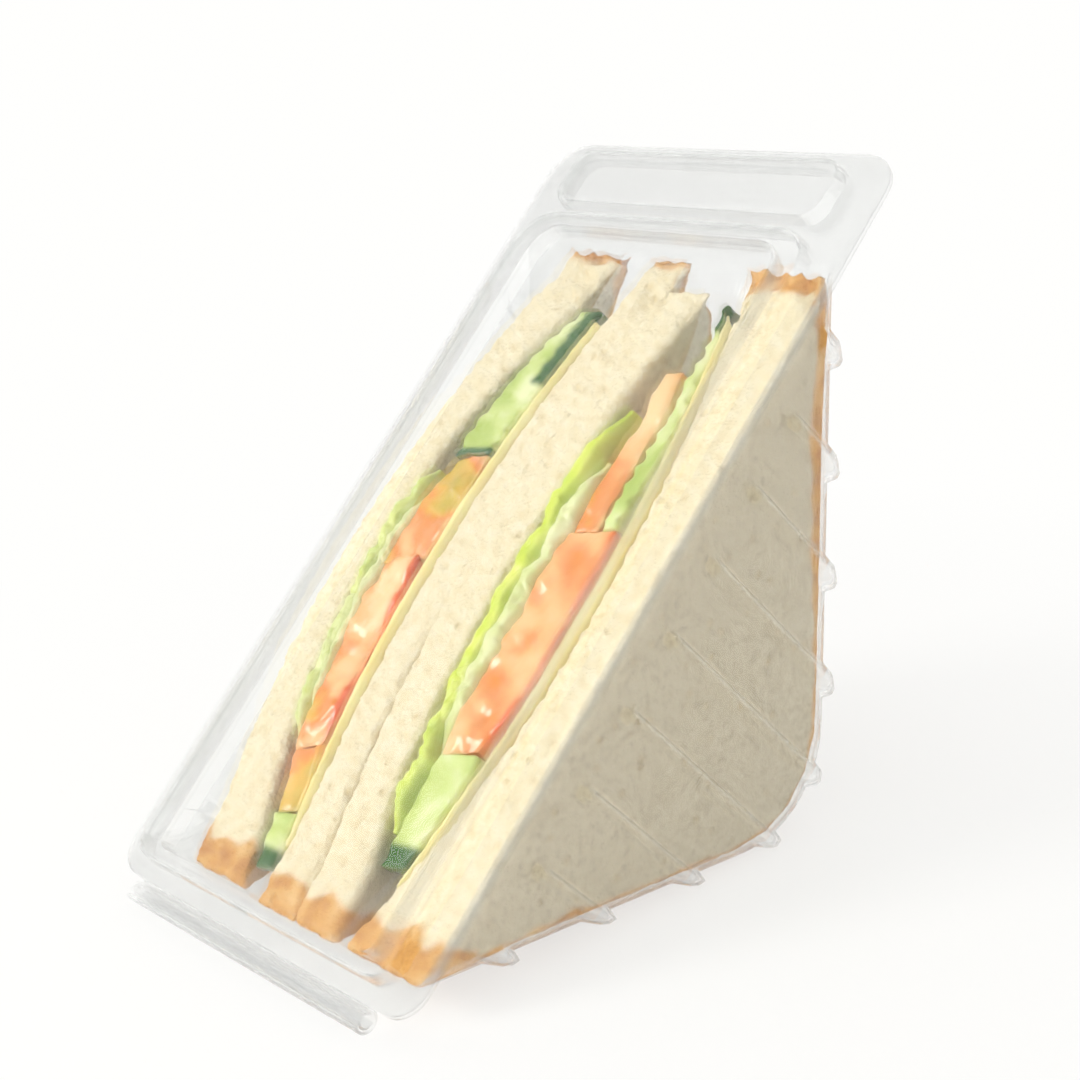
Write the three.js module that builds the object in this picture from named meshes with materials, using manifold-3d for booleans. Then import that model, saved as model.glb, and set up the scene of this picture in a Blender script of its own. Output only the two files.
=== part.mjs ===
// Sandwich wedge pack: a clear moulded tray with a hinged lid and two filled triangles of bread.
// Millimetres, +Z up, X across the pack, Y from the hinge at the front to the tall back wall.

import * as THREE from 'three';
import { mergeVertices } from 'three/addons/utils/BufferGeometryUtils.js';
import Module from 'manifold-3d';

const wasm = await Module();
wasm.setup();

// Tray: the cavity is a right-angled wedge, seen across the pack
const bottomLeg = 113.5;
const slopeAngle = THREE.MathUtils.degToRad(47.06);
const heelRadius = 24;
const cavityHalfWidth = 49.7;
const sideDraft = 0.034;
const edgeRadius = 3.5;
const trayWall = 0.6;

// Flange round the cavity's mouth, and the tab above it
const flangeLip = 2;
const tabLength = 26;
const tabCorner = 9;
const hingeCorner = 7;
const seatGap = 0.3;

// Ribs moulded round the walls, square to the slope
const ribCount = 9;
const firstRib = 14.5;
const ribPitch = 17.2;
const ribHeight = 1.7;
const ribLength = 6;
const ribTop = 9;
const ribFade = 5;

// Lid: a flat sheet with a raised bead round its window
const lidWall = 0.5;
const beadInset = 5.2;
const beadSide = 7.5;
const beadEnd = 4.5;
const beadHeight = 4;
const beadStart = -1.5;
const beadPastCavity = 4;
const beadCorner = 5;
const beadTopCorner = 9;
const windowCornerStep = 2;
const reliefDraft = 0.5;

// Snap block on the tab: the lid's block sits over the tray's
const blockInset = 9.7;
const blockStart = 7.5;
const blockLength = 14;
const blockHeight = 3.4;
const blockCorner = 4;

// Hinge: the lid's curled edge turns in a trough along the tray's front edge
const hingeAlong = -7.65;
const troughJoint = 0.35;
const lidFrontStep = 0.9;
const hingeInset = 8.7;
const neckLength = 8;
const neckInset = 0.5;
const curlRadius = 1.75;
const troughStart = THREE.MathUtils.degToRad(140);
const troughEnd = THREE.MathUtils.degToRad(350);
const curlEnd = THREE.MathUtils.degToRad(290);

// Sandwich: layers are bowed boundaries across the pack, given at their ends and their middle
const cutDepth = 1.9;
const cutMiddle = 83;
const cutHalfLength = 80;
const breadClearance = 0.5;
const crumbRounding = 2;
const breadTip = 1.6;
const layerGap = 0.3;
const breadPack = { ends: -30, middle: -46 };
const leftFillStart = { ends: -10, middle: -35.5 };
const leftFillEnd = { ends: -4, middle: -15 };
const breadSeam = { ends: 8, middle: -5 };
const rightFillStart = { ends: 20, middle: 8 };
const rightFillEnd = { ends: 25, middle: 36 };
const sliceEnds = [162.5, 161.5, 157, 162.5];
const cheeseInset = 7;
const leafInset = 11;
const crinkle = 0.7;
const crinklePitch = 5;

const flangeHalfWidth = cavityHalfWidth + flangeLip;
const beadHalfWidth = cavityHalfWidth - beadInset;
const blockHalfWidth = cavityHalfWidth - blockInset;
const hingeHalfWidth = cavityHalfWidth - hingeInset;
const wallSide = { ends: cavityHalfWidth + flangeLip, middle: cavityHalfWidth + flangeLip };
const sine = Math.sin(slopeAngle);
const cosine = Math.cos(slopeAngle);
const slopeLength = bottomLeg / cosine;
const flangeTop = -seatGap;

// Solids from closed geometry, and back
const solidOf = (geometry) => {
  geometry.deleteAttribute('normal');
  geometry.deleteAttribute('uv');
  const merged = mergeVertices(geometry, 1e-5);
  const vertProperties = new Float32Array(merged.attributes.position.array);
  const triVerts = new Uint32Array(merged.index.array);
  return new wasm.Manifold(new wasm.Mesh({ numProp: 3, vertProperties, triVerts }));
};

const geometryOf = (solid) => {
  const mesh = solid.getMesh();
  const geometry = new THREE.BufferGeometry();
  geometry.setAttribute('position', new THREE.BufferAttribute(mesh.vertProperties, 3));
  geometry.setIndex(new THREE.BufferAttribute(mesh.triVerts, 1));
  geometry.computeVertexNormals();
  return geometry;
};

// Closed solid through a row of equal convex rings of points
const loft = (rings) => {
  const count = rings[0].length;
  const points = rings.flat();
  const faces = [];
  for (let ring = 0; ring + 1 < rings.length; ring += 1) {
    for (let i = 0; i < count; i += 1) {
      const here = ring * count + i;
      const next = ring * count + ((i + 1) % count);
      faces.push([here, next, next + count], [here, next + count, here + count]);
    }
  }
  const last = (rings.length - 1) * count;
  for (let i = 1; i + 1 < count; i += 1) {
    faces.push([0, i + 1, i], [last, last + i, last + i + 1]);
  }
  const volume = faces.reduce((sum, [a, b, c]) => {
    const normal = points[b].clone().cross(points[c]);
    return sum + points[a].dot(normal);
  }, 0);
  const wound = volume > 0 ? faces : faces.map(([a, b, c]) => [a, c, b]);
  const geometry = new THREE.BufferGeometry().setFromPoints(points);
  geometry.setIndex(wound.flat());
  return solidOf(geometry);
};

// Slope coordinates: x across, along the slope from the front, out of the slope's plane
const at = (across, along, out) => new THREE.Vector3(across, along, out);

// Depth below the flange plane of the wedge's floor, moved inwards by an offset
const heelAlong = (bottomLeg - heelRadius) * cosine + heelRadius * sine;
const heelDepth = (bottomLeg - heelRadius) * sine - heelRadius * cosine;
const floorDepth = (along, offset) => {
  const heelStart = (bottomLeg - heelRadius) * cosine + offset * sine;
  const heelStop = (bottomLeg - offset) * cosine + heelRadius * sine;
  if (along < heelStart) {
    return (along * sine - offset) / cosine;
  }
  if (along > heelStop) {
    return (bottomLeg - offset - along * cosine) / sine;
  }
  return heelDepth + Math.sqrt((heelRadius - offset) ** 2 - (along - heelAlong) ** 2);
};

const halfWidthAt = (depth, offset) => cavityHalfWidth - sideDraft * depth - offset;

// The wedge itself, lofted from one side wall to the other, with rounded edges
const wedge = (offset, mouth) => {
  const heelSteps = 9;
  const edgeSteps = 3;
  const outline = (inset) => {
    const e = offset + inset;
    const corner = (y, z) => [y * cosine + z * sine, z * cosine - y * sine];
    const frontY = (e * cosine - mouth) / sine;
    const backZ = (mouth + (bottomLeg - e) * sine) / cosine;
    const points = [corner(frontY, e)];
    for (let i = 0; i <= heelSteps; i += 1) {
      const turn = (i / heelSteps - 1) * Math.PI / 2;
      const y = bottomLeg - heelRadius + (heelRadius - e) * Math.cos(turn);
      const z = heelRadius + (heelRadius - e) * Math.sin(turn);
      points.push(corner(y, z));
    }
    points.push(corner(bottomLeg - e, backZ));
    return points;
  };
  const radius = edgeRadius - offset;
  const side = [];
  for (let i = 0; i <= edgeSteps; i += 1) {
    const turn = (i / edgeSteps) * Math.PI / 2;
    side.push([radius * (1 - Math.sin(turn)), offset + radius * (1 - Math.cos(turn))]);
  }
  const ring = (inset, pulled, hand) => outline(inset).map(([along, out]) => (
    at(hand * halfWidthAt(-out, pulled), along, out)
  ));
  const left = side.map(([inset, pulled]) => ring(inset, pulled, -1));
  const right = side.map(([inset, pulled]) => ring(inset, pulled, 1)).reverse();
  return loft([...left, ...right]);
};

// One rib: a band round the walls that swells from the front and drops at the back
const rib = (centre, offset) => {
  const shape = [[-0.5, -0.3], [-0.18, 0.75], [0.02, 1], [0.3, 0.85], [0.5, -0.3]];
  const thin = 1 - (2 * offset) / ribLength;
  const rings = shape.map(([place, swell]) => {
    const along = centre + place * ribLength * thin;
    const rise = swell * ribHeight;
    const floor = floorDepth(along, offset - rise);
    const top = Math.min(ribTop, floor - ribFade - edgeRadius);
    const half = (depth, lift) => halfWidthAt(depth, offset - lift);
    const turn = edgeRadius * 0.3;
    const side = [
      [half(top, Math.min(rise, -0.3)), top],
      [half(top + ribFade * 0.4, Math.min(rise, rise * 0.8)), top + ribFade * 0.4],
      [half(top + ribFade, rise), top + ribFade],
      [half(floor - edgeRadius, rise), floor - edgeRadius],
      [half(floor - turn, rise - turn), floor - turn],
      [half(floor, rise - edgeRadius), floor],
    ];
    const left = side.map(([x, depth]) => at(-x, along, -depth));
    const right = side.map(([x, depth]) => at(x, along, -depth)).reverse();
    return [...left, ...right];
  });
  return loft(rings);
};

const ribs = Array.from({ length: ribCount }, (_, i) => firstRib + ribPitch * i);

// Rounded panel outline in the slope plane, with its own corner size at each end
const panel = (half, start, end, startCorner, endCorner, steps, out) => {
  const points = [];
  const corners = [
    [half - startCorner, start + startCorner, startCorner, -Math.PI / 2],
    [half - endCorner, end - endCorner, endCorner, 0],
    [-half + endCorner, end - endCorner, endCorner, Math.PI / 2],
    [-half + startCorner, start + startCorner, startCorner, Math.PI],
  ];
  for (const [x, along, radius, from] of corners) {
    for (let i = 0; i <= steps; i += 1) {
      const turn = from + (i / steps) * Math.PI / 2;
      points.push(at(x + radius * Math.cos(turn), along + radius * Math.sin(turn), out));
    }
  }
  return points;
};

// Flat or tapered pad between two heights
const pad = ({ half, start, end, startCorner, endCorner, steps, low, high, draft }) => loft([
  panel(half, start, end, startCorner, endCorner, steps, low),
  panel(half - draft, start + draft, end - draft, startCorner, endCorner, steps, high),
]);

const grown = (shape, by) => ({
  ...shape, half: shape.half + by, start: shape.start - by, end: shape.end + by,
});

// Part of a tube's wall along the hinge line
const hingeArc = (inner, outer, from, to) => {
  const shape = new THREE.Shape();
  shape.absarc(0, 0, outer, from, to, false);
  shape.absarc(0, 0, inner, to, from, true);
  shape.closePath();
  const geometry = new THREE.ExtrudeGeometry(shape, {
    depth: 2 * hingeHalfWidth, bevelEnabled: false, curveSegments: 9,
  });
  const toSlope = new THREE.Matrix4().makeBasis(at(0, 1, 0), at(0, 0, 1), at(1, 0, 0));
  geometry.applyMatrix4(toSlope);
  geometry.translate(-hingeHalfWidth, hingeAlong, 0);
  return solidOf(geometry);
};

// Tray: wedge shell with ribs, flange, tab block and hinge trough
const troughInner = curlRadius + seatGap;
const troughOuter = troughInner + trayWall;
const flangeStart = hingeAlong + troughInner + troughJoint;
const flangeEnd = slopeLength + tabLength;
const flange = {
  half: flangeHalfWidth,
  start: flangeStart,
  end: flangeEnd,
  startCorner: hingeCorner,
  endCorner: tabCorner,
  steps: 5,
  low: flangeTop - trayWall,
  high: flangeTop,
  draft: 0,
};
const block = {
  half: blockHalfWidth,
  start: slopeLength + blockStart,
  end: slopeLength + blockStart + blockLength,
  startCorner: blockCorner,
  endCorner: blockCorner,
  steps: 3,
  low: flangeTop - trayWall / 2,
  high: flangeTop + blockHeight,
  draft: reliefDraft,
};

const joined = (solids) => solids.reduce((sum, solid) => sum.add(solid));

const makeTray = () => {
  const outside = joined([wedge(0, flangeTop), ...ribs.map((centre) => rib(centre, 0))]);
  const inside = joined([
    wedge(trayWall, flangeTop + 1),
    ...ribs.map((centre) => rib(centre, trayWall)),
  ]);
  const trough = hingeArc(troughInner, troughOuter, troughStart, troughEnd);
  const hollow = pad({
    ...grown(block, -trayWall), low: block.low - trayWall, high: block.high - trayWall,
  });
  const body = joined([outside, pad(flange), pad(block), trough]);
  return body.subtract(inside).subtract(hollow);
};

// Lid: sheet, bead, block and curl
const lidBlock = {
  ...grown(block, seatGap + lidWall), low: 0, high: block.high + seatGap + lidWall,
};
const bead = {
  half: beadHalfWidth,
  start: beadStart,
  end: slopeLength + beadPastCavity,
  startCorner: beadCorner,
  endCorner: beadTopCorner,
  steps: 3,
  low: lidWall / 2,
  high: lidWall + beadHeight,
  draft: reliefDraft,
};
const windowOpening = {
  ...bead,
  half: beadHalfWidth - beadSide,
  start: beadStart + beadEnd,
  end: bead.end - beadEnd,
  startCorner: beadCorner - windowCornerStep,
  endCorner: beadTopCorner - windowCornerStep,
  low: lidWall,
  high: bead.high + 1,
  draft: -reliefDraft,
};

const makeLid = () => {
  const sheet = pad({
    ...flange, start: hingeAlong + curlRadius + lidFrontStep, low: 0, high: lidWall,
  });
  const neck = pad({
    ...flange,
    half: hingeHalfWidth - neckInset,
    start: hingeAlong + curlRadius - lidWall,
    end: hingeAlong + curlRadius + neckLength,
    startCorner: 0.1,
    endCorner: 0.1,
    steps: 1,
    low: 0,
    high: lidWall,
  });
  const curl = hingeArc(curlRadius - lidWall, curlRadius, 0, curlEnd);
  const raised = pad(bead).subtract(pad(windowOpening));
  const underside = pad({
    ...grown(bead, -lidWall), low: -1, high: bead.high - lidWall,
  });
  const windowWall = pad({ ...grown(windowOpening, lidWall), low: -2 });
  const channel = underside.subtract(windowWall);
  const cover = pad(lidBlock);
  const under = pad({
    ...grown(block, seatGap), low: -1, high: block.high + seatGap,
  });
  return joined([sheet, neck, curl, raised, cover]).subtract(channel).subtract(under);
};

// Layers of the sandwich
const bowed = ({ ends, middle }, along) => {
  const place = (along - cutMiddle) / cutHalfLength;
  return ends + (middle - ends) * (1 - place * place);
};

const between = (first, second, share) => ({
  ends: first.ends + (second.ends - first.ends) * share,
  middle: first.middle + (second.middle - first.middle) * share,
});

// Half the room inside the tray, less where the wall rounds into the floor
const roomAt = (along, depth) => {
  const above = (floorDepth(along, trayWall) - depth) * Math.min(sine, cosine);
  const short = THREE.MathUtils.clamp(edgeRadius - above, 0, edgeRadius);
  const pulled = edgeRadius - Math.sqrt(edgeRadius ** 2 - short ** 2);
  return halfWidthAt(depth, trayWall + breadClearance + pulled);
};

// Slab between two bowed boundaries, from the cut face down to a given depth
const slab = ({ left, right, start, end, steps, top, depthAt, round, wave }) => {
  const rings = [];
  for (let i = 0; i <= steps; i += 1) {
    const along = start + ((end - start) * i) / steps;
    const floor = Math.max(depthAt(along), top + 0.8);
    const shift = wave ? wave(along) : 0;
    const from = bowed(left, along) + layerGap / 2 + shift;
    const to = bowed(right, along) - layerGap / 2 - shift;
    const r = Math.min(round, (to - from) * 0.4, (floor - top) * 0.4);
    const side = [[r * 0.5, 0], [0, r * 0.5], [0, floor - top - r], [r * 0.3, floor - top - r * 0.3]];
    side.push([r, floor - top]);
    const edge = (x, inset, depth) => {
      const room = roomAt(along, depth);
      return at(THREE.MathUtils.clamp(x + inset, -room, room), along, -depth);
    };
    const near = side.map(([inset, drop]) => edge(from, inset, top + drop));
    const far = side.map(([inset, drop]) => edge(to, -inset, top + drop));
    rings.push([...near, ...far.reverse()]);
  }
  return loft(rings);
};

const breadFloor = (along) => floorDepth(along, trayWall + breadClearance);
const breadStart = (cutDepth + breadTip) / Math.tan(slopeAngle)
  + (trayWall + breadClearance) / sine;

const breadSlice = (left, right, end) => slab({
  left,
  right,
  start: breadStart,
  end,
  steps: 20,
  top: cutDepth,
  depthAt: (along) => Math.min(breadFloor(along), cutDepth + breadTip + (end - along) * 2.2),
  round: crumbRounding,
});

const makePlane = (left, right, start, end, inset, top) => slab({
  left,
  right,
  start,
  end,
  steps: 14,
  top,
  depthAt: (along) => floorDepth(along, trayWall + inset),
  round: 0.8,
});

// Round slice halved by the cut, so its flat edge shows in the cut face
const halfRound = (left, right, start, end, top, crinkled) => {
  const radius = (end - start) / 2;
  const centre = (end + start) / 2;
  return slab({
    left,
    right,
    start: start + 0.4,
    end: end - 0.4,
    steps: crinkled ? Math.round((end - start) / crinklePitch) * 4 : 12,
    top,
    depthAt: (along) => {
      const reach = Math.sqrt(Math.max(radius ** 2 - (along - centre) ** 2, 0));
      return Math.min(top + reach * 1.1, breadFloor(along) - 1);
    },
    round: 1.2,
    wave: crinkled
      ? (along) => crinkle * 0.5 * (1 - Math.cos(((along - start) / crinklePitch) * 2 * Math.PI))
      : undefined,
  });
};

const fill = (side, share) => (side === 'left'
  ? between(leftFillStart, leftFillEnd, share)
  : between(rightFillStart, rightFillEnd, share));

const breads = [
  [breadPack, leftFillStart],
  [leftFillEnd, breadSeam],
  [breadSeam, rightFillStart],
  [rightFillEnd, wallSide],
];

const leaves = [
  ['left', 0, 0.2, 34, 104],
  ['right', 0, 0.3, 28, 127],
];

const cheeses = [
  ['left', 0.87, 1, 14, 146],
  ['right', 0.9, 1, 16, 152],
];

const tomatoes = [
  ['left', 0.2, 0.87, 21, 34],
  ['left', 0.2, 0.87, 35, 80],
  ['left', 0.2, 0.87, 81, 108],
  ['right', 0.3, 0.9, 45, 97],
  ['right', 0.3, 0.66, 98, 136],
];

const cucumbers = [
  ['left', 0.1, 0.87, 9, 20],
  ['left', 0.2, 0.87, 109, 148],
  ['right', 0.3, 0.9, 20, 44],
  ['right', 0.66, 0.9, 98, 153],
];

// Scene
const plastic = { color: 0xe9ecea, roughness: 0.06, metalness: 0, transparent: true, opacity: 0.3 };
const looks = {
  bread: { color: 0xe6dcc0, roughness: 0.9, metalness: 0 },
  leaf: { color: 0x9fc24a, roughness: 0.5, metalness: 0 },
  cheese: { color: 0xf0e49a, roughness: 0.45, metalness: 0 },
  tomato: { color: 0xdf6f3c, roughness: 0.3, metalness: 0 },
  cucumber: { color: 0xb7ca7c, roughness: 0.35, metalness: 0 },
};

const sloped = new THREE.Group();
sloped.rotation.x = slopeAngle;

const place = (name, solid, look) => {
  const mesh = new THREE.Mesh(geometryOf(solid), new THREE.MeshStandardMaterial(look));
  mesh.name = name;
  sloped.add(mesh);
  return mesh;
};

const tray = place('tray', makeTray(), plastic);
place('lid', makeLid(), plastic);
breads.forEach(([left, right], i) => {
  place(`bread_slice_${i + 1}`, breadSlice(left, right, sliceEnds[i]), looks.bread);
});
leaves.forEach(([side, from, to, start, end], i) => {
  const solid = makePlane(fill(side, from), fill(side, to), start, end, leafInset, cutDepth);
  place(`lettuce_leaf_${i + 1}`, solid, looks.leaf);
});
cheeses.forEach(([side, from, to, start, end], i) => {
  const solid = makePlane(fill(side, from), fill(side, to), start, end, cheeseInset, cutDepth);
  place(`cheese_slice_${i + 1}`, solid, looks.cheese);
});
tomatoes.forEach(([side, from, to, start, end], i) => {
  const solid = halfRound(fill(side, from), fill(side, to), start, end, cutDepth, false);
  place(`tomato_slice_${i + 1}`, solid, looks.tomato);
});
cucumbers.forEach(([side, from, to, start, end], i) => {
  const solid = halfRound(fill(side, from), fill(side, to), start, end, cutDepth, true);
  place(`cucumber_slice_${i + 1}`, solid, looks.cucumber);
});

// The pack stands on its hinge bead and the rib nearest the back: find that tilt
const lowest = (turn) => {
  const position = tray.geometry.attributes.position;
  const low = { front: Infinity, back: Infinity };
  for (let i = 0; i < position.count; i += 1) {
    const along = position.getY(i);
    const height = along * Math.sin(turn) + position.getZ(i) * Math.cos(turn);
    const end = along < 0 ? 'front' : 'back';
    low[end] = Math.min(low[end], height);
  }
  return low;
};

let flat = 0;
let steep = slopeAngle;
for (let i = 0; i < 50; i += 1) {
  const middle = (flat + steep) / 2;
  const low = lowest(middle);
  if (low.front < low.back) {
    steep = middle;
  } else {
    flat = middle;
  }
}
sloped.rotation.x = steep;

const pack = new THREE.Group();
pack.add(sloped);
pack.updateMatrixWorld(true);
const box = new THREE.Box3().setFromObject(pack, true);
const middle = box.getCenter(new THREE.Vector3());
pack.position.set(-middle.x, -middle.y, -box.min.z);

export default pack;
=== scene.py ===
import math
import bmesh
import bpy
from mathutils import Matrix, Vector, noise


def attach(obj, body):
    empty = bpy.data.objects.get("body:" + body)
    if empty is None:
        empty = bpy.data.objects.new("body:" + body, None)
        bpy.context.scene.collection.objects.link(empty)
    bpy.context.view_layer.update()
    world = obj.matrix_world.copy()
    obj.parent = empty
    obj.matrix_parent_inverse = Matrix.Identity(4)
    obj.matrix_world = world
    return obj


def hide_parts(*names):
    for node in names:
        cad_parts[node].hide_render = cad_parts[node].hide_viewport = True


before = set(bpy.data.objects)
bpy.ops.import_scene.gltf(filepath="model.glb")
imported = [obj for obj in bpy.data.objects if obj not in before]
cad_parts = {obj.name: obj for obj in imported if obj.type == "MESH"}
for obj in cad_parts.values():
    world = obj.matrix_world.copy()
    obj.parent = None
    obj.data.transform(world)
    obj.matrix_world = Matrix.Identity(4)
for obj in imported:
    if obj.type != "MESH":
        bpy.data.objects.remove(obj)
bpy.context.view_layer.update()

scene = bpy.context.scene
MM = 0.001

# The pack's slope: x across, along it from the hinge end, and out of the lid's plane
SLOPE_ANGLE = math.radians(42.68831)
SLOPE_FRONT = Vector((0.0, -66.95921, 7.82392))
ALONG = Vector((0.0, math.cos(SLOPE_ANGLE), math.sin(SLOPE_ANGLE)))
OUT = Vector((0.0, -math.sin(SLOPE_ANGLE), math.cos(SLOPE_ANGLE)))
WEDGE_ANGLE = math.radians(47.06)
BOTTOM_LEG = 113.5
HEEL_RADIUS = 24.0
CUT_DEPTH = 1.9
FLOOR_GAP = 0.3


def slope_point(across, along, out):
    place = SLOPE_FRONT + ALONG * along + OUT * out
    return Vector((across, place.y, place.z)) * MM


def slope_place(point):
    local = point / MM - SLOPE_FRONT
    return point.x / MM, local.dot(ALONG), local.dot(OUT)


def floor_distance(along, out):
    """How far a point lies above the tray's bottom or in front of its back wall."""
    sine, cosine = math.sin(WEDGE_ANGLE), math.cos(WEDGE_ANGLE)
    y = along * cosine - out * sine
    z = along * sine + out * cosine
    heel_y, heel_z = BOTTOM_LEG - HEEL_RADIUS, HEEL_RADIUS
    if y > heel_y and z < heel_z:
        return HEEL_RADIUS - math.hypot(y - heel_y, z - heel_z)
    return min(z, BOTTOM_LEG - y)


# Camera, from the pack's edges in the photograph
camera_data = bpy.data.cameras.new("camera")
camera = bpy.data.objects.new("camera", camera_data)
scene.collection.objects.link(camera)
camera_data.sensor_width = 36.0
camera_data.lens = 67.61
camera_data.clip_start = 0.01
right = Vector((0.653, 0.7525, -0.0876)).normalized()
back = -Vector((-0.739, 0.6075, -0.2922)).normalized()
up = back.cross(right).normalized()
right = up.cross(back)
camera.matrix_world = Matrix.Translation((0.31981, -0.25056, 0.1911)) @ Matrix(
    (right, up, back)).transposed().to_4x4()
scene.camera = camera
scene.view_settings.view_transform = "Standard"


# Shader helpers
def new_material(name):
    material = bpy.data.materials.new(name)
    material.use_nodes = True
    nodes = material.node_tree.nodes
    shader = nodes["Principled BSDF"]
    return material, material.node_tree, shader


def add_node(tree, kind, **values):
    node = tree.nodes.new(kind)
    for key, value in values.items():
        setattr(node, key, value)
    return node


def set_input(node, name, value):
    node.inputs[name].default_value = value


def object_coordinates(tree):
    return add_node(tree, "ShaderNodeTexCoord").outputs["Object"]


def noise_texture(tree, vector, scale, detail=3.0, roughness=0.5):
    node = add_node(tree, "ShaderNodeTexNoise")
    tree.links.new(vector, node.inputs["Vector"])
    set_input(node, "Scale", scale)
    set_input(node, "Detail", detail)
    set_input(node, "Roughness", roughness)
    return node.outputs["Fac"]


def ramp(tree, factor, stops):
    node = add_node(tree, "ShaderNodeValToRGB")
    tree.links.new(factor, node.inputs["Fac"])
    elements = node.color_ramp.elements
    while len(elements) < len(stops):
        elements.new(0.5)
    for element, (position, colour) in zip(elements, stops):
        element.position = position
        element.color = (*colour, 1.0)
    return node.outputs["Color"]


def mix_colour(tree, factor, first, second, blend="MIX"):
    node = add_node(tree, "ShaderNodeMix", data_type="RGBA", blend_type=blend)
    for socket, value in ((node.inputs[0], factor), (node.inputs[6], first), (node.inputs[7], second)):
        if isinstance(value, bpy.types.NodeSocket):
            tree.links.new(value, socket)
        else:
            socket.default_value = value if isinstance(value, float) else (*value, 1.0)
    return node.outputs[2]


def attribute(tree, name):
    return add_node(tree, "ShaderNodeAttribute", attribute_name=name).outputs["Fac"]


def bump(tree, height, strength, distance, normal=None):
    node = add_node(tree, "ShaderNodeBump")
    tree.links.new(height, node.inputs["Height"])
    set_input(node, "Strength", strength)
    set_input(node, "Distance", distance)
    if normal:
        tree.links.new(normal, node.inputs["Normal"])
    return node.outputs["Normal"]


def make_clear_plastic():
    material, tree, shader = new_material("clear_plastic")
    set_input(shader, "Base Color", (0.995, 1.0, 0.995, 1.0))
    set_input(shader, "Transmission Weight", 1.0)
    set_input(shader, "Roughness", 0.03)
    set_input(shader, "IOR", 1.45)
    place = object_coordinates(tree)
    waves = noise_texture(tree, place, 45.0, 1.0)
    tree.links.new(bump(tree, waves, 0.05, 0.001), shader.inputs["Normal"])
    clear = add_node(tree, "ShaderNodeBsdfTransparent")
    set_input(clear, "Color", (0.99, 0.992, 0.99, 1.0))
    light = add_node(tree, "ShaderNodeLightPath")
    slant = add_node(tree, "ShaderNodeLayerWeight")
    clearness = add_node(tree, "ShaderNodeMapRange")
    tree.links.new(slant.outputs["Facing"], clearness.inputs["Value"])
    set_input(clearness, "From Min", 0.35)
    set_input(clearness, "From Max", 0.85)
    set_input(clearness, "To Min", 0.87)
    set_input(clearness, "To Max", 0.25)
    share = add_node(tree, "ShaderNodeMath", operation="MAXIMUM")
    tree.links.new(light.outputs["Is Shadow Ray"], share.inputs[0])
    tree.links.new(clearness.outputs[0], share.inputs[1])
    mixed = add_node(tree, "ShaderNodeMixShader")
    tree.links.new(share.outputs[0], mixed.inputs[0])
    tree.links.new(shader.outputs[0], mixed.inputs[1])
    tree.links.new(clear.outputs[0], mixed.inputs[2])
    tree.links.new(mixed.outputs[0], tree.nodes["Material Output"].inputs["Surface"])
    return material


def make_bread():
    material, tree, shader = new_material("bread")
    place = object_coordinates(tree)
    crumb = ramp(tree, noise_texture(tree, place, 420.0, 4.0, 0.6), [
        (0.3, (0.80, 0.67, 0.42)), (0.45, (0.89, 0.78, 0.53)), (0.7, (0.94, 0.86, 0.65))])
    # Side faces: darker, greyer crumb, partly the pressed crumb's own tone and partly painted shade
    pressed_and_shaded = ramp(tree, noise_texture(tree, place, 650.0, 3.0, 0.6), [
        (0.3, (0.55, 0.46, 0.31)), (0.48, (0.70, 0.61, 0.43)), (0.75, (0.78, 0.70, 0.52))])
    body = mix_colour(tree, attribute(tree, "pressed_and_shaded"), crumb, pressed_and_shaded)
    baked = ramp(tree, noise_texture(tree, place, 150.0, 4.0, 0.6), [
        (0.3, (0.48, 0.20, 0.05)), (0.5, (0.74, 0.39, 0.12)), (0.75, (0.90, 0.62, 0.29))])
    colour = mix_colour(tree, attribute(tree, "crust"), body, baked)
    set_input(shader, "Roughness", 0.85)
    set_input(shader, "Specular IOR Level", 0.2)
    pores = add_node(tree, "ShaderNodeTexVoronoi")
    tree.links.new(place, pores.inputs["Vector"])
    set_input(pores, "Scale", 900.0)
    holes = add_node(tree, "ShaderNodeTexVoronoi")
    tree.links.new(place, holes.inputs["Vector"])
    set_input(holes, "Scale", 190.0)
    dimple = add_node(tree, "ShaderNodeMapRange")
    tree.links.new(holes.outputs["Distance"], dimple.inputs["Value"])
    set_input(dimple, "From Min", 0.06)
    set_input(dimple, "From Max", 0.24)
    # Painted shade: the crumb's dented holes are darkened towards their middles
    shade = mix_colour(tree, dimple.outputs[0], (0.92, 0.86, 0.74), (1.0, 1.0, 1.0))
    tree.links.new(mix_colour(tree, 1.0, colour, shade, "MULTIPLY"), shader.inputs["Base Color"])
    dented = bump(tree, dimple.outputs[0], 0.45, 0.0010)
    fine = bump(tree, pores.outputs["Distance"], 0.5, 0.0008, dented)
    coarse = bump(tree, noise_texture(tree, place, 600.0, 5.0, 0.7), 0.5, 0.0010, fine)
    tree.links.new(coarse, shader.inputs["Normal"])
    return material


def make_food(name, stops, scale, rough, skin, subsurface):
    """A soft food whose tone and skin come from the piece's own attributes."""
    material, tree, shader = new_material(name)
    place = object_coordinates(tree)
    tone = add_node(tree, "ShaderNodeMath", operation="ADD")
    tree.links.new(noise_texture(tree, place, scale, 4.0, 0.55), tone.inputs[0])
    tree.links.new(attribute(tree, "tone"), tone.inputs[1])
    colour = ramp(tree, tone.outputs[0], stops)
    if skin:
        colour = mix_colour(tree, attribute(tree, "skin"), colour, skin)
    tree.links.new(colour, shader.inputs["Base Color"])
    set_input(shader, "Roughness", rough)
    set_input(shader, "Subsurface Weight", subsurface)
    set_input(shader, "Subsurface Radius", (0.004, 0.002, 0.001))
    set_input(shader, "Subsurface Scale", 1.0)
    tree.links.new(bump(tree, noise_texture(tree, place, scale * 3, 3.0), 0.3, 0.0008),
                   shader.inputs["Normal"])
    return material


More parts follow.
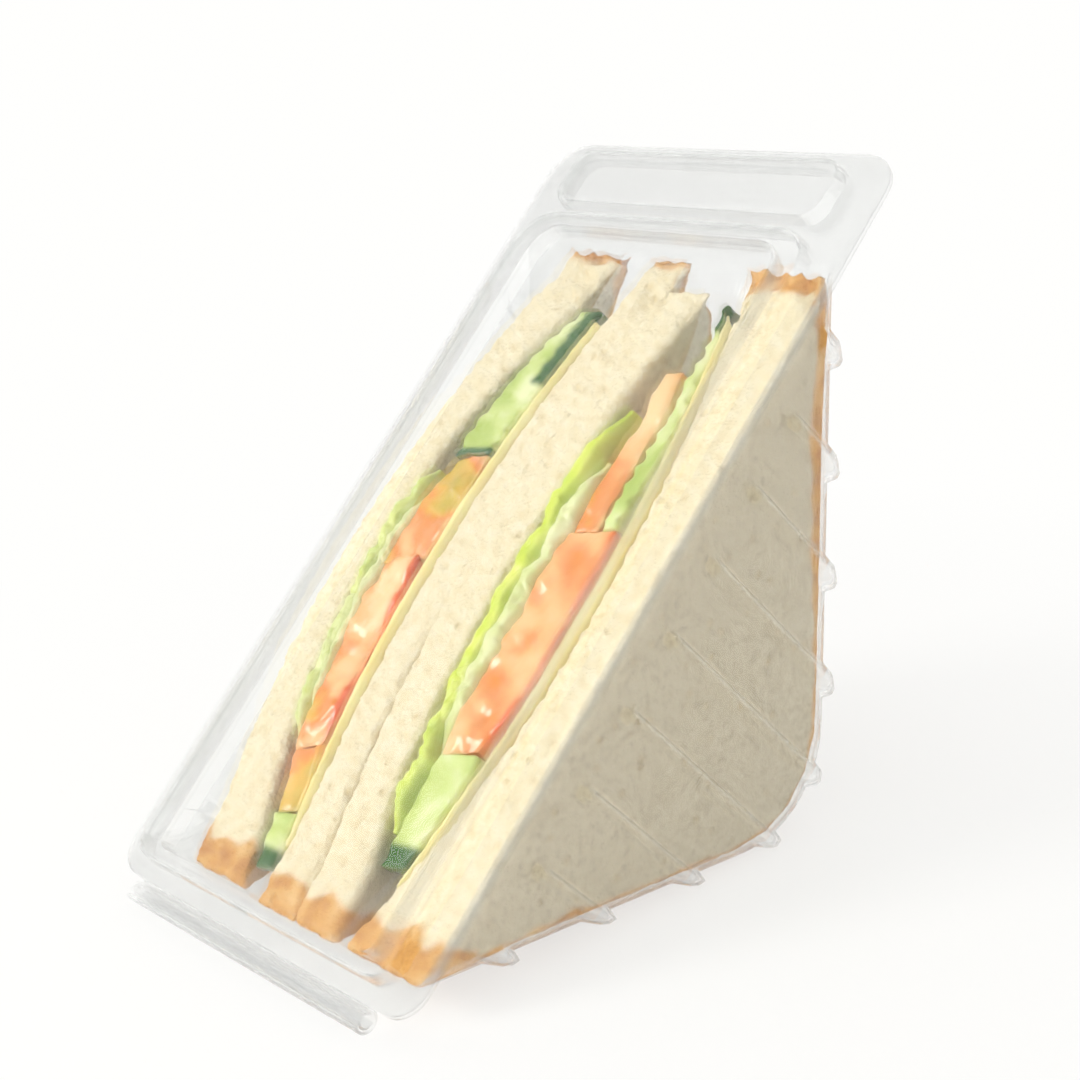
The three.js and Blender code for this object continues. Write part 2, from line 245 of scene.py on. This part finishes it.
clear_plastic = make_clear_plastic()
bread_material = make_bread()
cheese_material = make_food("cheese", [
    (0.3, (0.94, 0.78, 0.28)), (0.7, (0.98, 0.89, 0.45))], 60.0, 0.35, None, 0.3)
tomato_material = make_food("tomato", [
    (0.26, (0.58, 0.42, 0.03)), (0.38, (0.80, 0.46, 0.06)), (0.46, (0.82, 0.27, 0.03)),
    (0.52, (0.86, 0.32, 0.09)), (0.60, (0.90, 0.50, 0.20)), (0.74, (0.94, 0.66, 0.34))],
    70.0, 0.12, (0.80, 0.12, 0.01), 0.1)
cucumber_material = make_food("cucumber", [
    (0.3, (0.42, 0.55, 0.10)), (0.5, (0.62, 0.73, 0.24)), (0.7, (0.84, 0.88, 0.50))],
    130.0, 0.15, (0.02, 0.11, 0.002), 0.1)


def make_lettuce():
    material, tree, shader = new_material("lettuce")
    place = object_coordinates(tree)
    green = ramp(tree, noise_texture(tree, place, 90.0, 4.0, 0.6), [
        (0.3, (0.42, 0.60, 0.01)), (0.5, (0.62, 0.76, 0.03)), (0.75, (0.82, 0.88, 0.16))])
    pale = ramp(tree, noise_texture(tree, place, 120.0, 3.0, 0.6), [
        (0.3, (0.62, 0.70, 0.26)), (0.6, (0.84, 0.87, 0.50))])
    colour = mix_colour(tree, attribute(tree, "green"), pale, green)
    tree.links.new(colour, shader.inputs["Base Color"])
    set_input(shader, "Roughness", 0.3)
    set_input(shader, "Subsurface Weight", 0.15)
    set_input(shader, "Subsurface Radius", (0.002, 0.003, 0.001))
    set_input(shader, "Subsurface Scale", 1.0)
    veins = add_node(tree, "ShaderNodeTexVoronoi", feature="DISTANCE_TO_EDGE")
    tree.links.new(place, veins.inputs["Vector"])
    set_input(veins, "Scale", 220.0)
    tree.links.new(bump(tree, veins.outputs["Distance"], 0.5, 0.0008), shader.inputs["Normal"])
    return material


lettuce_material = make_lettuce()


# Pieces
def link(mesh, name, material, slot, body, *nodes):
    piece = bpy.data.objects.new(name, mesh)
    scene.collection.objects.link(piece)
    mesh.materials.clear()
    mesh.materials.append(material)
    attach(piece, body)
    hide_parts(*nodes)
    return piece


def merged_copy(node, name):
    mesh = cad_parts[node].data.copy()
    mesh.name = name
    shape = bmesh.new()
    shape.from_mesh(mesh)
    bmesh.ops.remove_doubles(shape, verts=shape.verts, dist=1e-6)
    shape.to_mesh(mesh)
    shape.free()
    return mesh


def apply_modifiers(piece):
    graph = bpy.context.evaluated_depsgraph_get()
    mesh = bpy.data.meshes.new_from_object(piece.evaluated_get(graph))
    piece.modifiers.clear()
    piece.data = mesh


def write_attribute(mesh, name, values):
    layer = mesh.attributes.new(name, "FLOAT", "POINT")
    layer.data.foreach_set("value", values)


def smoothstep(low, high, value):
    share = min(max((value - low) / (high - low), 0.0), 1.0)
    return share * share * (3.0 - 2.0 * share)


# Bread, in mm and slice by slice: how far the middle slices press into each other above their seam,
# how far each slice reaches past its solid at the front and at the top, how far its front tip
# widens to the left and to the right, and how thick its top crust is
SEAM_PUSH = (0.0, 1.5, -1.5, 0.0)
FRONT_REACH = (1.7, 3.4, 3.4, 2.8)
TOP_REACH = (2.4, 3.0, 0.0, 2.0)
TIP_PUSH = ((0.0, 0.0), (1.2, 0.3), (0.3, 2.2), (2.2, 0.0))
TOP_CRUST = (3.4, 3.0, 4.2, 5.5)
BASE_CRUST = 3.0
CRUST_WANDER = 1.5
FRONT_CRUST = 12.0
FRONT_WANDER = 3.5
FRONT_LIFT = 1.1
TORN_DEPTH = 3.0
RAGGED_HEIGHT = 0.7
CRUMB_VOXEL = 0.85


def make_bread_slice(number):
    """A slice with crumb on its cut face, pressed sides darkened partly by painted shade, baked edges
    and a torn top.
    """
    node = f"bread_slice_{number}"
    piece = link(merged_copy(node, node), node + "_crumb", bread_material, "bread", "pack", node)
    remesh = piece.modifiers.new("remesh", "REMESH")
    remesh.mode = "VOXEL"
    remesh.voxel_size = CRUMB_VOXEL * MM
    apply_modifiers(piece)
    mesh = piece.data
    crust, pressed_and_shaded = [], []
    shift = Vector((number * 7.1, number * 3.3, number * 1.7))
    left, right = TIP_PUSH[number - 1]
    push = SEAM_PUSH[number - 1]
    floor_normal = ALONG * math.sin(WEDGE_ANGLE) + OUT * math.cos(WEDGE_ANGLE)
    for vertex, corner in zip(mesh.vertices, mesh.vertex_normals):
        normal = corner.vector
        _, along, out = slope_place(vertex.co)
        depth_in = floor_distance(along, out)
        cut = smoothstep(0.6, 0.9, normal.dot(OUT))
        edge = TOP_CRUST[number - 1] * smoothstep(90.0, 135.0, along)
        edge += BASE_CRUST * smoothstep(135.0, 90.0, along)
        edge += CRUST_WANDER * noise.noise(vertex.co * 140 + shift)
        baked = smoothstep(edge + 0.8, edge - 0.6, depth_in)
        tip = FRONT_CRUST + FRONT_WANDER * noise.noise(vertex.co * 160 + shift)
        crust.append(max(baked, smoothstep(tip + 1.0, tip - 0.8, along)))
        # Side faces away from the cut face get the darker colour, which is partly painted shade
        pressed_and_shaded.append(smoothstep(0.7, 0.9, abs(normal.x)) * smoothstep(2.5, 4.5, -out))
        lumps = noise.fractal(vertex.co * 260 + shift, 1.0, 2.0, 3)
        pits = noise.fractal(vertex.co * 620 + shift, 1.0, 2.0, 2)
        near_cut = smoothstep(5.0, 1.5, -out - CUT_DEPTH)
        lift = cut * (0.42 * lumps + 0.42 * pits) + (1 - cut) * (0.12 * lumps + 0.08 * pits)
        ragged = near_cut * (1 - cut) * RAGGED_HEIGHT * noise.noise(vertex.co * 420 + shift)
        torn = near_cut * smoothstep(144.0, 152.0, along) * abs(noise.noise(vertex.co * 190 + shift))
        seam = push * near_cut * smoothstep(62.0, 84.0, along)
        seam *= smoothstep(0.1, 0.6, normal.x * math.copysign(1.0, push))
        relief = lift + ragged - TORN_DEPTH * torn - 0.1
        vertex.co += normal * relief * MM + Vector((seam * MM, 0, 0))
        reach = smoothstep(22.0, 6.0, along)
        vertex.co += (OUT * FRONT_LIFT - ALONG * FRONT_REACH[number - 1]) * reach * MM
        vertex.co += ALONG * TOP_REACH[number - 1] * smoothstep(138.0, 160.0, along) * MM
        widen = right * max(normal.x, 0.0) - left * max(-normal.x, 0.0)
        vertex.co.x += widen * smoothstep(34.0, 18.0, along) * MM
        _, along, out = slope_place(vertex.co)
        sunk = FLOOR_GAP - (along * math.sin(WEDGE_ANGLE) + out * math.cos(WEDGE_ANGLE))
        if along < 40.0 and sunk > 0.0:
            vertex.co += floor_normal * sunk * MM
    write_attribute(mesh, "crust", crust)
    write_attribute(mesh, "pressed_and_shaded", pressed_and_shaded)
    mesh.shade_smooth()
    return piece


# Each filling's left and right boundaries across the pack, at its ends and in its middle
LEFT_FILL = ((-10.0, -35.5), (-4.0, -15.0))
RIGHT_FILL = ((20.0, 8.0), (25.0, 36.0))
CUT_MIDDLE = 83.0
CUT_HALF_LENGTH = 80.0


def across_at(fill, share, along):
    """The place across that lies a share of the way through a bowed filling."""
    place = (along - CUT_MIDDLE) / CUT_HALF_LENGTH
    bow = 1.0 - place * place
    first = fill[0][0] + (fill[0][1] - fill[0][0]) * bow
    last = fill[1][0] + (fill[1][1] - fill[1][0]) * bow
    return first + (last - first) * share


# How much a filling's tone, height and width wander along it, and how its ends grow and narrow
TONE_SPREAD = 0.24
HEIGHT_SPREAD = 0.9
WIDTH_SPREAD = 0.15
END_GROWTH = 1.2
END_NARROWING = 0.22
FILLING_CENTRE = 0.55


def make_filling(node, material, slot, seed, bumps, scale, voxel, lift, skin_rule=None, fill=None,
                 span=None, slant=0.0, scallop=0.0, tone=0.0):
    """A slice from its solid, with lumps, its skin marked, and its ends cut aslant."""
    piece = link(merged_copy(node, node), node + "_piece", material, slot, "pack", node)
    remesh = piece.modifiers.new("remesh", "REMESH")
    remesh.mode = "VOXEL"
    remesh.voxel_size = voxel * MM
    apply_modifiers(piece)
    mesh = piece.data
    shift = Vector((seed * 5.3 + 1.1, seed * 2.9, seed * 4.1))
    skin, tones = [], []
    for vertex, corner in zip(mesh.vertices, mesh.vertex_normals):
        across, along, out = slope_place(vertex.co)
        depth = -out - CUT_DEPTH
        skin.append(skin_rule(across, along) if skin_rule else 0.0)
        tones.append(tone + TONE_SPREAD * noise.noise(vertex.co * 75 + shift))
        lumps = noise.noise(vertex.co * scale + shift) + 0.4 * noise.noise(vertex.co * scale * 3)
        vertex.co += corner.vector * (lumps - 0.3) * bumps * MM
        upper = smoothstep(9.0, 3.0, depth)
        vertex.co += OUT * lift * upper * MM
        if span:
            middle, half = sum(span) / 2, (span[1] - span[0]) / 2
            place = (along - middle) / half
            offset = across - across_at(fill, FILLING_CENTRE, along)
            narrow = END_NARROWING * place * place
            narrow -= WIDTH_SPREAD * noise.noise(Vector((along * 0.09, seed, 0.5)))
            wave = scallop * abs(math.sin(along * 0.75 + seed))
            side = -offset * narrow + (wave if offset > 0 else -wave)
            run = END_GROWTH * place + slant * offset * abs(place)
            high = HEIGHT_SPREAD * noise.noise(Vector((along * 0.11, seed * 3.7, 1.5)))
            vertex.co += (ALONG * run + OUT * high * upper) * MM + Vector((side * upper * MM, 0, 0))
    write_attribute(mesh, "skin", skin)
    write_attribute(mesh, "tone", tones)
    mesh.shade_smooth()
    smooth = piece.modifiers.new("smooth", "SMOOTH")
    smooth.factor = 0.5
    smooth.iterations = 1
    apply_modifiers(piece)
    return piece


LEAF_THICKNESS = 0.6
FOLD_DROP = 9.0
END_DROP = 2.0
LEAST_DEPTH = 0.6


def make_leaf(node, fill, folds):
    """Ruffled folds side by side, as a leaf lies between the slices."""
    shape = bmesh.new()
    green_layer = shape.verts.layers.float.new("green")
    for start, end, share, half, green, height, wave, phase in folds:
        made = bmesh.ops.create_grid(shape, x_segments=110, y_segments=16, size=0.5)
        for vertex in made["verts"]:
            run, turn = vertex.co.x + 0.5, vertex.co.y * 2
            along = start + (end - start) * run
            ease = smoothstep(0.0, 0.14, min(run, 1 - run))
            ruffle = 2.6 * wave * noise.noise(Vector((along * 0.16, phase, share * 9)))
            ruffle += 1.3 * wave * noise.noise(Vector((along * 0.5, turn + phase, share * 9)))
            width = half * (0.35 + 0.65 * ease)
            width *= 1 + 0.35 * noise.noise(Vector((along * 0.1, phase, 7)))
            across = across_at(fill, share, along) + ruffle * ease + width * turn
            across = max(across, across_at(fill, 0.02, along) - 0.6)
            frill = 1.1 * wave * noise.noise(Vector((along * 0.6, turn * 1.5, phase)))
            lift = height + frill + 0.9 * noise.noise(Vector((along * 0.3, phase, turn)))
            depth = CUT_DEPTH - lift * ease + (1 - ease) * END_DROP + turn ** 6 * FOLD_DROP
            vertex[green_layer] = green * (1 - 0.35 * abs(turn))
            vertex.co = slope_point(across, along, -max(depth, LEAST_DEPTH))
    mesh = bpy.data.meshes.new(node)
    shape.to_mesh(mesh)
    shape.free()
    piece = link(mesh, node + "_sheets", lettuce_material, "lettuce", "pack", node)
    thick = piece.modifiers.new("thickness", "SOLIDIFY")
    thick.thickness = LEAF_THICKNESS * MM
    thick.offset = 0.0
    rounder = piece.modifiers.new("rounding", "SUBSURF")
    rounder.levels = rounder.render_levels = 1
    apply_modifiers(piece)
    piece.data.shade_smooth()
    return piece


def make_shell(node):
    """The tray or the lid as a smooth clear sheet with crisp folds."""
    piece = link(merged_copy(node, node), node + "_sheet", clear_plastic, "clear_plastic",
                 "lid" if node == "lid" else "pack", node)
    mesh = piece.data
    shape = bmesh.new()
    shape.from_mesh(mesh)
    bmesh.ops.dissolve_limit(shape, angle_limit=math.radians(1.0), verts=shape.verts,
                             edges=shape.edges)
    shape.to_mesh(mesh)
    shape.free()
    if node == "lid":
        edges = piece.modifiers.new("edges", "BEVEL")
        edges.width = 0.2 * MM
        edges.segments = 2
        edges.limit_method = "ANGLE"
        edges.angle_limit = math.radians(50)
        apply_modifiers(piece)
        mesh = piece.data
    mesh.shade_smooth()
    mesh.set_sharp_from_angle(angle=math.radians(48))
    weighted = piece.modifiers.new("weighted", "WEIGHTED_NORMAL")
    weighted.keep_sharp = True
    apply_modifiers(piece)
    return piece


for slice_number in range(1, 5):
    make_bread_slice(slice_number)
# Each fold: its start and end along the slope, share across, half width, green, height, ruffle, phase
make_leaf("lettuce_leaf_1", LEFT_FILL, [
    (36.0, 74.0, 0.10, 2.0, 0.25, 0.5, 0.4, 0.3), (66.0, 104.0, 0.07, 1.8, 0.55, 0.7, 0.6, 1.9),
    (40.0, 98.0, 0.20, 1.6, 0.05, 0.3, 0.4, 4.0)])
make_leaf("lettuce_leaf_2", RIGHT_FILL, [
    (26.0, 66.0, 0.18, 2.0, 0.8, 1.2, 0.7, 0.8), (50.0, 127.0, 0.12, 2.3, 1.0, 1.4, 0.7, 2.4),
    (44.0, 114.0, 0.27, 2.6, 0.08, 1.0, 0.7, 4.4)])
for i in range(2):
    make_filling(f"cheese_slice_{i + 1}", cheese_material, "cheese", i, 0.25, 60, 0.8, 0.6)

# Each tomato slice: its filling, its right side's share across, where its chord starts and ends,
# whether its skin shows, its slant and its tone
TOMATOES = [
    (LEFT_FILL, 0.87, 21, 34, False, 0.3, -0.05), (LEFT_FILL, 0.87, 35, 80, True, 0.3, 0.04),
    (LEFT_FILL, 0.87, 81, 108, False, 0.3, -0.07), (RIGHT_FILL, 0.9, 45, 97, True, 0.25, 0.05),
    (RIGHT_FILL, 0.66, 98, 136, False, 0.25, 0.0)]


def tomato_rule(fill, share, start):
    """Skin along the right side, past the slice's front end."""
    def rule(across, along):
        near = across_at(fill, share, along) - across
        return smoothstep(2.6, 1.4, near) * smoothstep(start, start + 8, along)
    return rule


for i, (fill, share, start, end, skinned, slant, tone) in enumerate(TOMATOES):
    make_filling(f"tomato_slice_{i + 1}", tomato_material, "tomato", i, 1.3, 120, 0.7, 0.3,
                 tomato_rule(fill, share, start) if skinned else None, fill, (start, end), slant,
                 tone=tone)

# Each cucumber slice: its filling, its right side's share across, where its chord starts and ends,
# where its skin starts and ends, whether that skin is a strip on its right side, and its scallops
CUCUMBERS = [
    (LEFT_FILL, 0.87, 9, 20, 9, 13, False, 0.3), (LEFT_FILL, 0.87, 109, 148, 128, 160, True, 0.9),
    (RIGHT_FILL, 0.9, 20, 44, 20, 25, False, 0.3), (RIGHT_FILL, 0.9, 98, 153, 146, 160, False, 0.9)]


def cucumber_rule(fill, share, start, skin_start, skin_end, strip):
    """Skin over a stretch of the slice, or as a strip on its right side and at its front end."""
    def rule(across, along):
        seen = smoothstep(skin_start - 1, skin_start + 1, along)
        seen *= smoothstep(skin_end + 1, skin_end - 1, along)
        if not strip:
            return seen
        near = across_at(fill, share, along) - across
        return max(seen * smoothstep(4.6, 3.4, near), smoothstep(start + 2.6, start + 1.6, along))
    return rule


for i, (fill, share, start, end, skin_start, skin_end, strip, scallop) in enumerate(CUCUMBERS):
    make_filling(f"cucumber_slice_{i + 1}", cucumber_material, "cucumber", i, 0.3, 90, 0.6, 0.5,
                 cucumber_rule(fill, share, start, skin_start, skin_end, strip), fill, (start, end),
                 0.2, scallop)
make_shell("tray")
make_shell("lid")

# Floor, world and lamps
floor_shape = bmesh.new()
bmesh.ops.create_grid(floor_shape, x_segments=1, y_segments=1, size=40.0)
floor_mesh = bpy.data.meshes.new("floor")
floor_shape.to_mesh(floor_mesh)
floor_shape.free()
floor = bpy.data.objects.new("floor", floor_mesh)
scene.collection.objects.link(floor)
floor_material, floor_tree, floor_shader = new_material("floor")
floor_tint = ramp(floor_tree, noise_texture(floor_tree, object_coordinates(floor_tree), 2.0, 2.0), [
    (0.3, (0.93, 0.93, 0.915)), (0.7, (0.945, 0.945, 0.935))])
floor_tree.links.new(floor_tint, floor_shader.inputs["Base Color"])
set_input(floor_shader, "Roughness", 0.7)
glow = add_node(floor_tree, "ShaderNodeEmission")
set_input(glow, "Color", (1.0, 0.998, 0.985, 1.0))
path = add_node(floor_tree, "ShaderNodeLightPath")
seen = add_node(floor_tree, "ShaderNodeMath", operation="MAXIMUM")
floor_tree.links.new(path.outputs["Is Camera Ray"], seen.inputs[0])
floor_tree.links.new(path.outputs["Is Transmission Ray"], seen.inputs[1])
seen_all = add_node(floor_tree, "ShaderNodeMath", operation="MAXIMUM")
floor_tree.links.new(seen.outputs[0], seen_all.inputs[0])
floor_tree.links.new(path.outputs["Is Glossy Ray"], seen_all.inputs[1])
far = add_node(floor_tree, "ShaderNodeVectorMath", operation="LENGTH")
floor_tree.links.new(object_coordinates(floor_tree), far.inputs[0])
fade = add_node(floor_tree, "ShaderNodeMapRange")
floor_tree.links.new(far.outputs["Value"], fade.inputs["Value"])
set_input(fade, "From Min", 0.07)
set_input(fade, "From Max", 0.28)
set_input(fade, "To Min", 0.7)
fade_seen = add_node(floor_tree, "ShaderNodeMath", operation="MULTIPLY")
floor_tree.links.new(fade.outputs[0], fade_seen.inputs[0])
floor_tree.links.new(seen_all.outputs[0], fade_seen.inputs[1])
lit = add_node(floor_tree, "ShaderNodeMixShader")
floor_tree.links.new(fade_seen.outputs[0], lit.inputs[0])
floor_tree.links.new(floor_shader.outputs[0], lit.inputs[1])
floor_tree.links.new(glow.outputs[0], lit.inputs[2])
floor_tree.links.new(lit.outputs[0], floor_tree.nodes["Material Output"].inputs["Surface"])
floor_mesh.materials.append(floor_material)

world = bpy.data.worlds.new("studio")
scene.world = world
world.use_nodes = True
background = world.node_tree.nodes["Background"]
background.inputs["Color"].default_value = (1.0, 0.995, 0.98, 1.0)
world_path = add_node(world.node_tree, "ShaderNodeLightPath")
world_strength = add_node(world.node_tree, "ShaderNodeMapRange")
world.node_tree.links.new(world_path.outputs["Is Camera Ray"], world_strength.inputs["Value"])
set_input(world_strength, "To Min", 0.76)
set_input(world_strength, "To Max", 1.0)
world.node_tree.links.new(world_strength.outputs[0], background.inputs["Strength"])


def add_lamp(name, place, target, size, power, colour=(1.0, 1.0, 1.0)):
    data = bpy.data.lights.new(name, "AREA")
    data.shape = "RECTANGLE"
    data.size, data.size_y = size
    data.energy = power
    data.color = colour
    lamp = bpy.data.objects.new(name, data)
    scene.collection.objects.link(lamp)
    lamp.location = place
    lamp.rotation_euler = (Vector(target) - Vector(place)).to_track_quat("-Z", "Y").to_euler()
    return lamp


add_lamp("key", (-0.5, -0.95, 0.75), (0, 0, 0.06), (0.45, 0.45), 8.0, (1.0, 0.985, 0.96))
add_lamp("edge_light", (0.72, -0.36, 0.82), (0, 0, 0.06), (0.08, 0.6), 0.9)
